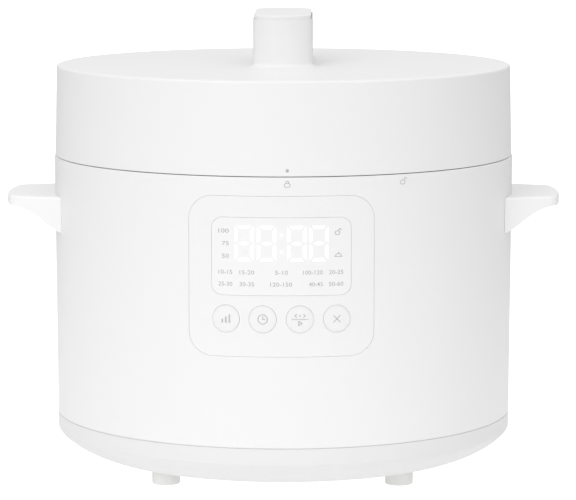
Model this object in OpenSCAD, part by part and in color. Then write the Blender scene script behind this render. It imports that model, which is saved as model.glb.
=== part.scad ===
// Electric pressure cooker: a round body with two side handles, a bayonet lid
// with a fixed knob and a steam release button in the knob's top, and a
// control panel at the front. The front faces -Y, +Z is up, and the origin is
// on the vertical axis at the level of the feet.

/* [Body] */
// Room between the top ring's gutter and the body wall
body_clear = 2.7; // [2.2:0.1:12]
// How much narrower the body wall is at the base seam
body_taper = 1.1; // [0:0.1:3]
// Thickness of the body wall
body_wall = 3.0; // [2.6:0.1:3.2]
// Height of the seam between body and lid
seam_z = 190.2; // [187:0.1:205]
// Open gap between body and lid
seam_gap = 0.5; // [0.4:0.1:1.4]
// Height of the seam between base cover and body wall
base_seam_z = 34.0; // [32:0.5:36]
// Open gap between base cover and body wall
base_gap = 0.5; // [0.3:0.1:0.8]

/* [Base and feet] */
// Height of each foot
foot_h = 9.3; // [6:0.1:12]
// Diameter of each foot
foot_d = 16.6; // [14:0.1:22]
// Distance from the side of the base to each foot's centre
foot_inset = 39.8; // [38:0.1:48]
// Straight height of the base cover's side below its seam
base_side_h = 9.2; // [6:0.1:10]
// Width of the curved shoulder at the bottom of the base cover
base_shoulder_w = 26.6; // [22:0.2:28]
// Thickness of the base cover
base_wall = 2.6; // [2:0.1:3]

/* [Lid cover and knob] */
// How far the lid wall stands back from the body wall
lid_step = 0.6; // [0:0.1:1.5]
// Height of the lid cover's side
lid_h = 54.0; // [50:0.5:65]
// How much narrower the lid is at its top
lid_taper = 1.1; // [0:0.1:2]
// Rise of the lid's top from edge to centre
lid_crown = 0.8; // [0.2:0.1:3]
// Thickness of the lid cover
lid_wall = 2.8; // [2.2:0.1:3]
// Width of the knob
knob_w = 35.7; // [33:0.1:42]
// Length of the knob from front to back
knob_l = 86.6; // [80:0.1:92]
// Height of the knob's rim above the lid's top edge
knob_h = 29.0; // [26:0.5:34]
// Radius of the knob's rounded front and rear ends
knob_end_r = 24.0; // [22:0.5:40]
// Radius of the knob's corners
knob_corner = 8.0; // [6:0.5:12]
// Radius of the blend at the foot of the knob
knob_fillet = 2.5; // [1:0.5:5]
// Height of the release button above the knob's rim, which is also its travel
button_stand = 2.3; // [1.5:0.1:2.6]

/* [Handles] */
// Reach of each handle's tip beyond the body wall
handle_reach = 28.4; // [24:0.2:34]
// Depth of the handles' flat top below the seam
handle_drop = 23.0; // [20:0.1:30]
// Width of a handle where it meets the body
handle_root_w = 82.0; // [70:0.5:86]
// Width of a handle at its tip
handle_tip_w = 63.6; // [52:0.2:68]
// Thickness of a handle where it meets the body
handle_root_t = 21.6; // [19:0.2:26]
// Thickness of a handle at its tip
handle_tip_t = 5.6; // [4:0.2:8]

/* [Control panel] */
// Width of the control panel, measured straight across
panel_w = 105.4; // [104:0.2:108]
// Depth of the control panel's top edge below the seam
panel_drop = 11.0; // [10:0.5:12]
// Radius of the control panel's corners
panel_corner = 13.5; // [8:0.5:14]
// Width of the display window, measured straight across
window_w = 79.2; // [78:0.2:82]
// Height of the display window
window_h = 44.5; // [43:0.5:46]
// Height of the panel above the display window
panel_head = 12.2; // [11:0.1:14]
// Diameter of a panel button
key_d = 15.6; // [14:0.1:16.4]
// Height between the display window and the buttons
key_gap = 5.8; // [5:0.1:8]
// Height of the panel below the buttons
panel_foot = 13.9; // [12:0.1:16]
// Angle between neighbouring buttons around the body
key_step = 8.8; // [8.7:0.05:9.2]
// Travel of a panel button
key_travel = 0.6; // [0.3:0.05:0.7]

/* [Cooking pot] */
// Inside radius of the inner pot
pot_r = 110.0; // [100:0.5:110.5]
// Inside depth of the inner pot
pot_h = 129.8; // [118:0.2:132]
// Thickness of the inner pot
pot_wall = 1.8; // [1.2:0.1:2.2]
// Width of the inner pot's rim, from the inside of the pot
pot_rim_w = 7.5; // [6:0.1:8]
// Thickness of the outer pot's sheet
sheet = 1.2; // [0.8:0.1:1.5]

/* [Bayonet lock] */
// Number of lugs on the lid and on the locking ring
lug_count = 6; // [4:1:6]
// Angle that the lid turns from locked to open
open_angle = 28.5; // [24:0.5:31]
// Overhang of the locking ring's lugs
lug_reach = 5.0; // [3:0.1:5.4]
// Height of the locking ring
ring_h = 4.0; // [3:0.1:5]
// Thickness of the lid's lugs
lug_t = 3.8; // [3:0.1:4.5]

/* [Pressure lid] */
// Height of the silicone seal between pot rim and pressure lid
seal_h = 7.9; // [7:0.1:9]
// Thickness of the pressure lid
plate_t = 2.0; // [1.5:0.1:2.5]
// Lift of the float valve
float_lift = 3.5; // [2:0.1:4]
// Arm of the release lever from its pivot to the push rod
lever_in = 12.0; // [11:0.5:13]
// Arm of the release lever from its pivot to the valve stem
lever_out = 8.0; // [7.5:0.5:9]

/* [Heater] */
// Radius of the heating plate
heater_r = 85.0; // [75:0.5:92]
// Thickness of the heating plate
heater_t = 6.0; // [5:0.5:7]
// Travel of the temperature probe
probe_travel = 1.5; // [0.5:0.1:2]

/* [Hidden] */
$fn = 96;
eps = 0.01;
clear = 0.3;          // gap between pieces that are only set beside each other
run = 0.05;           // radial gap of a shaft in its bore
fit = 0.05;           // gap between faces drawn together by screws
line_gap = 0.12;      // visible joint line between flush panel pieces
arc_steps = 8;

white = [0.95, 0.95, 0.94];
off_white = [0.88, 0.88, 0.87];
steel = [0.72, 0.73, 0.74];
alloy = [0.62, 0.63, 0.65];
rubber = [0.85, 0.85, 0.84];
dark = [0.2, 0.2, 0.22];
board_green = [0.1, 0.38, 0.24];

// Radii from the pot outwards
pot_out = pot_r + pot_wall;
outer_pot_in = pot_out + 2.2;
outer_pot_out = outer_pot_in + sheet;
outer_pot_corner = 10;
ring_r = outer_pot_in + pot_rim_w;
lug_out = ring_r + lug_reach;
lug_angle = open_angle - 2.5;
lid_lug_in = ring_r + 1.0;
skirt_in = lug_out + 1.1;
skirt_out = skirt_in + plate_t;
gutter_in = ring_r - 2.0;
gutter_out = skirt_out + 1.0;
gutter_wall = 2.2;
body_r = gutter_out + gutter_wall + body_clear + body_wall;

// Body heights
body_top_z = seam_z - seam_gap / 2;
shell_bottom_z = base_seam_z + base_gap / 2;
base_top_z = base_seam_z - base_gap / 2;
base_floor_z = foot_h + base_wall;
base_r = body_r - body_taper;
shoulder_z = base_seam_z - base_side_h;
foot_ring_r = base_r - foot_inset;
foot_stem_r = 3.8;
ring_top_z = seam_z - 4.2;
ring_bottom_z = ring_top_z - ring_h;
lid_lug_top_z = ring_bottom_z - clear;
lid_lug_bottom_z = lid_lug_top_z - lug_t;
gutter_t = 2.2;
gutter_z = lid_lug_bottom_z - 1.7;

// Pot and heater heights
pot_rim_z = ring_top_z + pot_wall;
pot_bottom_z = pot_rim_z - pot_h;
pot_floor = 2.0;
pot_corner = 14;
heater_top_z = pot_bottom_z - pot_floor - clear;
heater_bottom_z = heater_top_z - heater_t;
element_r = 3.5;
element_ring_r = heater_r - 25;
outer_floor_z = heater_bottom_z - element_r - 1.0;
outer_under_z = outer_floor_z - sheet;
spring_t = 1.5;
spring_r = 62;
spring_under_z = outer_under_z - spring_t;
floor_hole_r = spring_r - 14;
leg_r = 4;
leg_ring_r = 36;
probe_hole_r = 15.5;
housing_bore = 10;
housing_wall = 2;
housing_flange_r = 20;
housing_floor_z = outer_under_z - 4;
cap_skirt_r = housing_bore - clear;
cap_disc_r = probe_hole_r - 2.5;
cap_t = 1.2;
housing_top_z = heater_top_z - cap_t - probe_travel - 2.5;
switch_x = 30;
switch_y = -26;
switch_floor_z = spring_under_z - 12.7;

// Lid heights and radii
lid_bottom_z = seam_z + seam_gap / 2;
lid_top_z = seam_z + lid_h;
lid_r = body_r - lid_step;
lid_top_r = lid_r - lid_taper;
lid_in_r = lid_r - lid_wall;
seal_z = pot_rim_z + clear;
plate_under_z = seal_z + seal_h;
plate_z = plate_under_z + plate_t;
liner_t = 2.4;
liner_deck_z = plate_z + 2.2;
liner_top_z = liner_deck_z + liner_t;
liner_foot_z = lid_bottom_z + 0.4;
liner_in = skirt_out + 0.8;
liner_out = lid_in_r - clear;
lid_screw_ring_r = liner_in - 12;
lid_screw_count = 6;
boss_r = 4.5;
stud_ring_r = 70;
stud_r = 2.5;
seal_in = pot_r - 1.0;
seal_out = ring_r;

// Knob
knob_end_y = knob_l / 2 - knob_end_r;
knob_rim_z = lid_top_z + knob_h;
knob_wall = 2.5;
rim_wall = 0.7;
button_gap = 0.25;
button_top_z = knob_rim_z + button_stand;
button_t = 3.4;
button_under_z = button_top_z - button_t;
rebate_z = button_under_z - button_stand - clear;
deck_z = lid_top_z - 3.0;
rod_r = 3;
guide_z = deck_z - 5;

// Release linkage
valve_y = lever_in + lever_out;
nozzle_r = 4.5;
nozzle_top_z = plate_z + 12;
valve_under_z = nozzle_top_z - 6;
valve_top_z = valve_under_z + 16;
valve_r = 7.4;
collar_r = 5.5;
lever_z = valve_top_z + 6;
lever_half = 1.5;
pin_r = 1.5;
collar_z = lever_z + lever_half + clear;
rod_tip_z = lever_z + lever_half + clear;
bracket_in = 7;
bracket_t = 2.5;
float_x = 24;
float_y = -18;
float_r = 2.2;
float_head_z = plate_z + 2.4;

// Handles
handle_top_z = seam_z - handle_drop;
handle_tip = body_r + handle_reach;
handle_round = 1.5;
handle_boss_y = 20;
handle_boss_z = handle_top_z - 9;
handle_boss_r = 4.5;

// Control panel
window_drop = panel_drop + panel_head;
key_drop = window_drop + window_h + key_gap + key_d / 2;
panel_h = key_drop + key_d / 2 + panel_foot - panel_drop;
panel_mid_z = seam_z - panel_drop - panel_h / 2;
window_mid_z = seam_z - window_drop - window_h / 2;
window_corner = 6;
key_z = seam_z - key_drop;
overlay_t = 1.6;
ledge = 6;
housing_t = 2.6;
panel_r = wall_r(key_z);
housing_front = panel_r - body_wall - 0.2;
key_back = housing_front - 0.7;
key_flange_front = panel_r - overlay_t - 0.6;
board_y = housing_front - 10.8;
board_t = 1.6;
board_post = 4.5;
board_w = 84;
board_h = panel_h - 16;

// Base interior
power_board_z = base_floor_z + 4;
shield_z = power_board_z + 18;
supply_w = 100;
supply_l = 66;
supply_y = 4;
pillar_r = 5;
pillar_ring_r = outer_pot_out - outer_pot_corner - pillar_r;
pillar_start = 22.5;
pillar_foot_z = shield_z - 6;
shield_r = pillar_ring_r + 12;
inlet_z = 60;
inlet_depth = 14;
inlet_face_y = sqrt(pow(base_r, 2) - pow(16, 2)) - 0.5;

function wall_r(z) = body_r - body_taper * (seam_z - z) / (seam_z - base_seam_z);
function arc(cx, cy, r, from, to, steps = arc_steps) =
    [for (i = [0:steps]) [cx + r * cos(from + (to - from) * i / steps),
        cy + r * sin(from + (to - from) * i / steps)]];
// Flat-bodied superellipse quarter from the straight side down to the floor
function shoulder(side_r, floor_r, side_z, floor_z, power = 1.38, steps = 14) =
    [for (i = [0:steps]) let (t = 90 * i / steps)
        [floor_r + (side_r - floor_r) * pow(cos(t), 2 / power),
            side_z - (side_z - floor_z) * pow(sin(t), 2 / power)]];

// A ring or, with no inner radius, a disc between two heights
module band(inner, outer, low, high) {
    translate([0, 0, low]) difference() {
        cylinder(r = outer, h = high - low);
        if (inner > 0) translate([0, 0, -1]) cylinder(r = inner, h = high - low + 2);
    }
}

module round_rect(w, h, r) {
    square([w, h - 2 * r], center = true);
    square([w - 2 * r, h], center = true);
    for (x = [-1, 1], y = [-1, 1]) translate([x * (w / 2 - r), y * (h / 2 - r)]) circle(r = r);
}

// Solid between outlines with equal numbers of points, one outline for each height
module loft(outlines, heights) {
    count = len(outlines[0]);
    last = len(heights) - 1;
    points = [for (i = [0:last], p = outlines[i]) [p[0], p[1], heights[i]]];
    faces = concat([[for (k = [0:count - 1]) k]],
        [for (i = [0:last - 1], k = [0:count - 1]) let (n = (k + 1) % count)
            [i * count + k, (i + 1) * count + k, (i + 1) * count + n, i * count + n]],
        [[for (k = [count - 1:-1:0]) last * count + k]]);
    polyhedron(points = points, faces = faces);
}

// Outline of the knob seen from above, drawn in by an inset
function knob_plan(inset) = let (x = knob_w / 2 - knob_corner, r = knob_corner - inset,
    y = knob_end_y + sqrt(pow(knob_end_r - knob_corner, 2) - x * x),
    turn = atan2(y - knob_end_y, x), end = knob_end_r - inset) concat(
    arc(x, y, r, 0, turn, 9),
    [for (i = [1:13]) let (a = turn + (180 - 2 * turn) * i / 14)
        [end * cos(a), knob_end_y + end * sin(a)]],
    arc(-x, y, r, 180 - turn, 180, 9),
    arc(-x, -y, r, 180, 180 + turn, 9),
    [for (i = [1:13]) let (a = 180 + turn + (180 - 2 * turn) * i / 14)
        [end * cos(a), end * sin(a) - knob_end_y]],
    arc(x, -y, r, 360 - turn, 360, 9));

// Rounded rectangle seen from the front, as a prism through the front wall
module front_prism(w, h, mid_z, r, near = 160, depth = 60) {
    translate([0, -near + depth, mid_z]) rotate([90, 0, 0]) linear_extrude(height = depth) round_rect(w, h, r);
}

// Part of the tapered wall between two depths below its outer face
module wall_skin(shallow, deep, low, high) {
    rotate_extrude() polygon([
        [wall_r(low) - deep, low], [wall_r(low) - shallow, low],
        [wall_r(high) - shallow, high], [wall_r(high) - deep, high]]);
}

module around(count, radius, start = 0) {
    for (i = [0:count - 1]) rotate([0, 0, start + 360 * i / count]) translate([radius, 0, 0]) children();
}

module key_place(i) {
    rotate([0, 0, (i - 1.5) * key_step]) translate([0, 0, key_z]) rotate([90, 0, 0]) children();
}

module hex(r, h) {
    cylinder(r = r, h = h, $fn = 6);
}

// Bayonet lugs with a lead-in chamfer on the side that meets first
module lugs(inner, outer, low, high, lead, lower) {
    half = lug_angle / 2;
    mid = (inner + outer) / 2;
    chamfer = (high - low) / 3;
    for (i = [0:lug_count - 1]) rotate([0, 0, 360 * i / lug_count]) difference() {
        rotate([0, 0, -half]) rotate_extrude(angle = lug_angle)
            polygon([[inner, low], [outer, low], [outer, high], [inner, high]]);
        rotate([0, 0, lead * half]) translate([mid, 0, lower ? low : high]) rotate([45, 0, 0])
            cube([outer - inner + 4, chamfer * sqrt(2), chamfer * sqrt(2)], center = true);
    }
}

module outer_shell() {
    edge = 0.8;
    color(white) difference() {
        rotate_extrude() polygon(concat(
            [[wall_r(shell_bottom_z) - body_wall, shell_bottom_z], [wall_r(shell_bottom_z), shell_bottom_z]],
            arc(wall_r(body_top_z) - edge, body_top_z - edge, edge, 0, 90, 4),
            [[wall_r(body_top_z) - body_wall, body_top_z]]));
        intersection() {
            front_prism(panel_w + 2 * line_gap, panel_h + 2 * line_gap, panel_mid_z, panel_corner + line_gap);
            wall_skin(-1, overlay_t + 0.1, seam_z - 120, seam_z - 2);
        }
        front_prism(panel_w - 2 * ledge, panel_h - 2 * ledge, panel_mid_z, panel_corner - ledge);
        for (side = [-1, 1], y = [-1, 1])
            translate([side * (body_r - 10), y * handle_boss_y, handle_boss_z]) rotate([0, side * 90, 0])
                cylinder(r = handle_boss_r + 0.2, h = 20);
        translate([-16.2, body_r - 20, inlet_z - 14.2]) cube([32.4, 30, 28.4]);
    }
}

module base_cover() {
    spigot_r = wall_r(shell_bottom_z) - body_wall - clear;
    slot_count = 24;
    color(white) difference() {
        union() {
            rotate_extrude() polygon(concat(
                [[0, foot_h], [base_r - base_shoulder_w, foot_h]],
                [for (i = [13:-1:0]) shoulder(base_r, base_r - base_shoulder_w, shoulder_z, foot_h)[i]],
                [[base_r, base_top_z], [spigot_r, base_top_z], [spigot_r, base_top_z + 6],
                    [spigot_r - 2, base_top_z + 6], [spigot_r - 2, base_top_z - 3]],
                [for (i = [0:14]) shoulder(base_r - base_wall, base_r - base_shoulder_w,
                    shoulder_z, base_floor_z)[i]],
                [[0, base_floor_z]]));
            around(4, pillar_ring_r, pillar_start) translate([0, 0, base_floor_z - 1])
                cylinder(r = pillar_r, h = pillar_foot_z - base_floor_z + 1);
            board_posts() cylinder(r = 3, h = power_board_z - base_floor_z + 1);
        }
        around(4, pillar_ring_r, pillar_start) translate([0, 0, foot_h - 1]) {
            cylinder(r = 2.1, h = 40);
            cylinder(r = 4.2, h = 5);
        }
        around(4, foot_ring_r, 45) translate([0, 0, foot_h - 1]) cylinder(r = foot_stem_r + 0.1, h = 10);
        around(slot_count, 42) translate([0, 0, foot_h + 1]) cube([24, 3, 8], center = true);
        board_posts() translate([0, 0, 2]) cylinder(r = 1.2, h = 10);
    }
}

module feet() {
    r = foot_d / 2;
    color(rubber) around(4, foot_ring_r, 45) rotate_extrude() polygon(concat(
        [[0, 0]], arc(r - 1.2, 1.2, 1.2, -90, 0, 5),
        [[r, foot_h], [foot_stem_r, foot_h], [foot_stem_r, base_floor_z + 0.1],
            [foot_stem_r + 1.2, base_floor_z + 0.1], [foot_stem_r - 0.8, base_floor_z + 3.5],
            [0, base_floor_z + 3.5]]));
}

module base_screws() {
    color(steel) around(4, pillar_ring_r, pillar_start) translate([0, 0, foot_h + 1]) {
        cylinder(r = 3.8, h = 3);
        cylinder(r = 2, h = pillar_foot_z - foot_h + 5);
    }
}

module board_posts() {
    for (x = [-1, 1], y = [8, supply_l - 8])
        translate([x * (supply_w / 2 - 6), supply_y + y, base_floor_z - 1]) children();
}

// Handle seen from the side, with its flat top and hollow grip
function handle_side() = let (low = handle_top_z - handle_tip_t, inner = body_r - 12,
    tip = handle_tip, corner = 1.2, reach = tip - body_r + 7) concat(
    [[inner, handle_top_z + 1], [tip + 1, handle_top_z + 1], [tip + 1, low + 3]],
    arc(tip - corner, low + corner, corner, 0, -80, 4),
    [for (i = [1:16]) let (t = i / 16, s = (1 - cos(180 * pow(t, 1.35))) / 2)
        [tip - 1.6 - reach * t, low - (handle_root_t - handle_tip_t) * (0.15 * t + 0.85 * s)]],
    [[inner, handle_top_z - handle_root_t]]);

// Outline of a handle seen from above, drawn in by an inset
function handle_plan(inset) = let (root = handle_root_w / 2, side = handle_tip_w / 2, corner = 8,
    bulge = 140, side_x = handle_tip - 5.4, inner = body_r - 14,
    lean = atan2(root - side, side_x - body_r + 5.8),
    line = side_x * sin(lean) + side * cos(lean), middle = handle_tip - bulge,
    guess_y = (line - corner - (handle_tip - corner - 2) * sin(lean)) / cos(lean),
    x = middle + sqrt(pow(bulge - corner, 2) - guess_y * guess_y),
    y = (line - corner - x * sin(lean)) / cos(lean), turn = atan2(y, x - middle),
    end_y = (line - inset - inner * sin(lean)) / cos(lean)) concat(
    [[inner, -end_y]],
    arc(x, -y, corner - inset, lean - 90, -turn, 8),
    arc(middle, 0, bulge - inset, -turn * 5 / 6, turn * 5 / 6, 10),
    arc(x, y, corner - inset, turn, 90 - lean, 8),
    [[inner, end_y]]);

module handle() {
    rounding = [for (a = [0:15:90]) a];
    difference() {
        union() {
            intersection() {
                translate([0, 60, 0]) rotate([90, 0, 0]) linear_extrude(height = 120) polygon(handle_side());
                loft(concat([handle_plan(0)], [for (a = rounding) handle_plan(handle_round * (1 - cos(a)))]),
                    concat([handle_top_z - 60],
                        [for (a = rounding) handle_top_z - handle_round * (1 - sin(a))]));
            }
            for (y = [-1, 1]) translate([body_r - 6, y * handle_boss_y, handle_boss_z]) rotate([0, 90, 0])
                cylinder(r = handle_boss_r, h = 10);
        }
        difference() {
            translate([0, 0, base_seam_z]) cylinder(r1 = wall_r(base_seam_z) + fit, r2 = wall_r(seam_z) + fit,
                h = seam_z - base_seam_z);
            for (y = [-1, 1]) translate([body_r - 6, y * handle_boss_y, handle_boss_z]) rotate([0, 90, 0])
                cylinder(r = handle_boss_r, h = 11);
        }
        for (y = [-1, 1]) translate([body_r - 8, y * handle_boss_y, handle_boss_z]) rotate([0, 90, 0])
            cylinder(r = 2.05, h = 14);
    }
}

module right_handle() {
    color(white) handle();
}

module left_handle() {
    color(white) mirror([1, 0, 0]) handle();
}

module handle_screws() {
    color(steel) for (side = [-1, 1], y = [-1, 1])
        translate([side * (body_r - 8), y * handle_boss_y, handle_boss_z]) rotate([0, side * 90, 0]) {
            cylinder(r = 6.4, h = 2);
            cylinder(r = 2, h = 12);
        }
}

module panel_overlay() {
    color(white) difference() {
        intersection() {
            front_prism(panel_w, panel_h, panel_mid_z, panel_corner);
            wall_skin(0, overlay_t, seam_z - 120, seam_z - 2);
        }
        front_prism(window_w + 2 * line_gap, window_h + 2 * line_gap, window_mid_z, window_corner + line_gap);
        for (i = [0:3]) key_place(i) translate([0, 0, 100]) cylinder(r = key_d / 2 + 0.2, h = 60);
    }
}

module display_window() {
    color(off_white) {
        intersection() {
            front_prism(window_w, window_h, window_mid_z, window_corner);
            wall_skin(0, overlay_t + 0.5, seam_z - 120, seam_z - 2);
        }
        intersection() {
            front_prism(window_w + 4, window_h + 4, window_mid_z, window_corner + 2);
            wall_skin(overlay_t + 0.1, body_wall, seam_z - 120, seam_z - 2);
        }
    }
}

module panel_housing() {
    top = gutter_z - gutter_t - clear;
    low = panel_mid_z - panel_h / 2 + 2;
    color(off_white) difference() {
        union() {
            intersection() {
                front_prism(panel_w - 6, top - low, (top + low) / 2, 5);
                band(housing_front - housing_t, housing_front, seam_z - 120, seam_z - 2);
            }
            board_corners() translate([0, 0, -board_post]) cylinder(r = 3.2, h = board_post);
        }
        front_prism(window_w - 4, window_h - 2, window_mid_z, 3);
        for (i = [0:3]) key_place(i) {
            translate([0, 0, key_back - key_travel - 0.2]) cylinder(r = key_d / 2 + 2.1, h = 20);
            translate([0, 0, 100]) cylinder(r = 2.4, h = 50);
        }
        board_corners() translate([0, 0, 0.9 - board_post]) cylinder(r = 1.05, h = board_post);
    }
}

module board_corners() {
    for (x = [-1, 1], z = [-1, 1])
        translate([x * (board_w / 2 - 5), -board_y, panel_mid_z + z * (board_h / 2 - 4)]) rotate([-90, 0, 0])
            children();
}

module display_module() {
    color(dark) translate([-29, -board_y - 6.6, window_mid_z - 4.4]) cube([58, 6.6, 23.6]);
}

module control_board() {
    color(board_green) difference() {
        translate([-board_w / 2, -board_y, panel_mid_z - board_h / 2]) cube([board_w, board_t, board_h]);
        board_corners() translate([0, 0, -3]) cylinder(r = 1.3, h = 8);
    }
    color(dark) for (i = [0:3]) translate([board_y * tan((i - 1.5) * key_step), -board_y, key_z]) {
        translate([-3, -3, -3]) cube([6, 3.2, 6]);
        rotate([90, 0, 0]) cylinder(r = 1.6, h = 3.6);
    }
    color(off_white) translate([-12, -board_y + board_t - 0.1, panel_mid_z - board_h / 2 + 3]) cube([24, 6, 7]);
}

module board_screws() {
    color(steel) board_corners() {
        translate([0, 0, board_t]) cylinder(r = 2.2, h = 1.6);
        translate([0, 0, 1.1 - board_post]) cylinder(r = 1, h = board_post + board_t - 1);
    }
}

// Round panel button with a slightly domed face, a captive flange and a plunger
module key(i) {
    dome = 0.45;
    proud = 0.1;
    dome_r = (pow(key_d / 2, 2) + dome * dome) / (2 * dome);
    plunger = (board_y + 3.9 + key_travel) / cos((i - 1.5) * key_step);
    color(white) key_place(i) intersection() {
        union() {
            translate([0, 0, key_back]) cylinder(r = key_d / 2, h = panel_r - key_back + proud + dome + 1);
            translate([0, 0, key_back]) cylinder(r = key_d / 2 + 1.5, h = key_flange_front - key_back);
            translate([0, 0, plunger]) cylinder(r = 2, h = key_back - plunger + 1);
        }
        translate([0, 0, panel_r + proud + dome - dome_r]) sphere(r = dome_r);
    }
}

module texture_button() {
    key(0);
}

module timer_button() {
    key(1);
}

module start_button() {
    key(2);
}

module cancel_button() {
    key(3);
}

module top_ring() {
    skirt = wall_r(body_top_z - 20) - body_wall - clear;
    color(off_white) rotate_extrude() polygon([
        [outer_pot_out + clear, ring_bottom_z - sheet - 2.2], [gutter_in, ring_bottom_z - sheet - 2.2],
        [gutter_in, gutter_z - gutter_t], [gutter_out + gutter_wall, gutter_z - gutter_t],
        [gutter_out + gutter_wall, body_top_z - 2.6], [skirt, body_top_z - 2.6], [skirt, body_top_z],
        [gutter_out, body_top_z], [gutter_out, gutter_z], [gutter_in + 2, gutter_z],
        [gutter_in + 2, ring_bottom_z - sheet], [outer_pot_out + clear, ring_bottom_z - sheet]]);
}

// A flat ring cut back between its lugs, each with a chamfer on the side that the lid's lug meets first
module locking_ring() {
    space = 360 / lug_count - lug_angle;
    chamfer = ring_h / 3;
    color(steel) difference() {
        band(outer_pot_in, lug_out, ring_bottom_z, ring_top_z);
        for (i = [0:lug_count - 1]) rotate([0, 0, 360 * i / lug_count + lug_angle / 2]) {
            rotate_extrude(angle = space) polygon([
                [ring_r, ring_bottom_z - 1], [lug_out + 2, ring_bottom_z - 1],
                [lug_out + 2, ring_top_z + 1], [ring_r, ring_top_z + 1]]);
            translate([ring_r + 0.4, -chamfer, ring_bottom_z]) rotate([45, 0, 0]) translate([0, 0, -chamfer])
                cube([lug_reach + 2, 2 * chamfer, chamfer]);
        }
    }
}

module outer_pot() {
    r = outer_pot_corner;
    color(steel) difference() {
        rotate_extrude() polygon(concat(
            [[0, outer_under_z]],
            arc(outer_pot_out - r, outer_under_z + r, r, -90, 0),
            [[outer_pot_out, ring_bottom_z - sheet], [ring_r - 1, ring_bottom_z - sheet],
                [ring_r - 1, ring_bottom_z], [outer_pot_in, ring_bottom_z]],
            arc(outer_pot_out - r, outer_under_z + r, r - sheet, 0, -90),
            [[0, outer_floor_z]]));
        translate([0, 0, outer_under_z - 1]) cylinder(r = floor_hole_r, h = 5);
    }
}

module inner_pot() {
    out = pot_bottom_z - pot_floor;
    rim = pot_r + pot_rim_w;
    color(alloy) rotate_extrude() polygon(concat(
        [[0, out]],
        arc(pot_out - pot_corner, out + pot_corner, pot_corner, -90, 0),
        [[pot_out, ring_top_z]],
        arc(rim - pot_wall / 2, ring_top_z + pot_wall / 2, pot_wall / 2, -90, 90, 6),
        [[pot_r, pot_rim_z]],
        arc(pot_out - pot_corner, out + pot_corner, pot_corner - pot_wall, 0, -90),
        [[0, pot_bottom_z]]));
}

module heating_plate() {
    color(alloy) difference() {
        union() {
            band(0, heater_r, heater_bottom_z, heater_top_z);
            around(3, leg_ring_r) translate([0, 0, outer_under_z])
                cylinder(r = leg_r, h = heater_bottom_z - outer_under_z + 1);
        }
        translate([0, 0, outer_under_z - 1]) cylinder(r = probe_hole_r, h = 40);
        rotate_extrude() translate([element_ring_r, heater_bottom_z]) circle(r = element_r + 0.1);
    }
}

module heating_element() {
    color(steel) {
        rotate_extrude() translate([element_ring_r, heater_bottom_z]) circle(r = element_r);
        for (y = [-1, 1]) translate([element_ring_r + 1, y * 6, heater_bottom_z - 1.9]) rotate([0, 90, 0])
            cylinder(r = 1.6, h = 20);
    }
}

module spring_plate() {
    color(steel) band(housing_bore + housing_wall + clear, spring_r, spring_under_z, outer_under_z);
}

module probe_housing() {
    color(off_white) {
        difference() {
            band(0, housing_bore + housing_wall, housing_floor_z, housing_top_z);
            translate([0, 0, housing_floor_z + 1.5]) cylinder(r = housing_bore, h = 40);
        }
        band(housing_bore + housing_wall - eps, housing_flange_r, outer_under_z, outer_under_z + 1.5);
    }
}

module probe_cap() {
    inside_h = heater_top_z - cap_t - outer_under_z;
    color(alloy) difference() {
        union() {
            band(0, cap_disc_r, heater_top_z - cap_t, heater_top_z);
            band(0, cap_skirt_r, outer_under_z + 1.5, heater_top_z - cap_t + eps);
        }
        translate([0, 0, outer_under_z]) cylinder(r = cap_skirt_r - 1.2, h = inside_h);
    }
}

// Coil spring swept along a helix
module coil(coil_r, wire_r, turns, low, high) {
    per_turn = 14;
    sides = 6;
    rings = turns * per_turn;
    points = [for (i = [0:rings], k = [0:sides - 1])
        let (a = 360 * i / per_turn, b = 360 * k / sides, r = coil_r + wire_r * cos(b))
        [r * cos(a), r * sin(a), low + wire_r + (high - low - 2 * wire_r) * i / rings + wire_r * sin(b)]];
    faces = concat([[for (k = [0:sides - 1]) k]],
        [for (i = [0:rings - 1], k = [0:sides - 1]) let (n = (k + 1) % sides)
            [i * sides + k, (i + 1) * sides + k, (i + 1) * sides + n, i * sides + n]],
        [[for (k = [sides - 1:-1:0]) rings * sides + k]]);
    polyhedron(points = points, faces = faces);
}

module probe_spring() {
    color(steel) coil(cap_skirt_r - 2.4, 0.5, 5, housing_floor_z + 1.6, heater_top_z - cap_t - 0.1);
}

module pressure_switch() {
    color(dark) translate([switch_x, switch_y, switch_floor_z + 1.2]) {
        translate([-5, -10, 0]) cube([10, 20, 8]);
        cylinder(r = 2, h = 11.2);
    }
}

module switch_bracket() {
    leg_y = -spring_r - 3;
    color(steel) {
        translate([switch_x - 7, leg_y, switch_floor_z]) cube([14, 52, 1.2]);
        translate([switch_x - 7, leg_y, switch_floor_z]) cube([14, 1.2, outer_under_z - switch_floor_z]);
        translate([switch_x - 7, leg_y - 10, outer_under_z - 1.2]) cube([14, 11, 1.2]);
    }
}

module thermal_fuse() {
    color(off_white) rotate([0, 0, 200]) translate([outer_pot_out + clear, -7, outer_floor_z + 30])
        cube([5, 14, 22]);
}

module heat_shield() {
    color(steel) difference() {
        band(0, shield_r, shield_z, shield_z + 0.8);
        around(4, pillar_ring_r, pillar_start) translate([0, 0, shield_z - 1]) cylinder(r = 2.2, h = 4);
        translate([switch_x - 9, -spring_r - 6, shield_z - 1]) cube([18, 60, 3]);
        translate([-14, -shield_r - 8, shield_z - 1]) cube([28, 30, 3]);
    }
}

module support_pillars() {
    color(steel) around(4, pillar_ring_r, pillar_start) difference() {
        union() {
            translate([0, 0, pillar_foot_z]) cylinder(r = pillar_r - 0.5, h = shield_z - pillar_foot_z);
            translate([0, 0, shield_z + 0.8]) cylinder(r = pillar_r - 0.5, h = outer_under_z - shield_z - 0.8);
            translate([0, 0, shield_z - 0.2]) cylinder(r = 2.1, h = 1.2);
        }
        translate([0, 0, pillar_foot_z - 1]) cylinder(r = 2.05, h = 8);
    }
}

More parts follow.
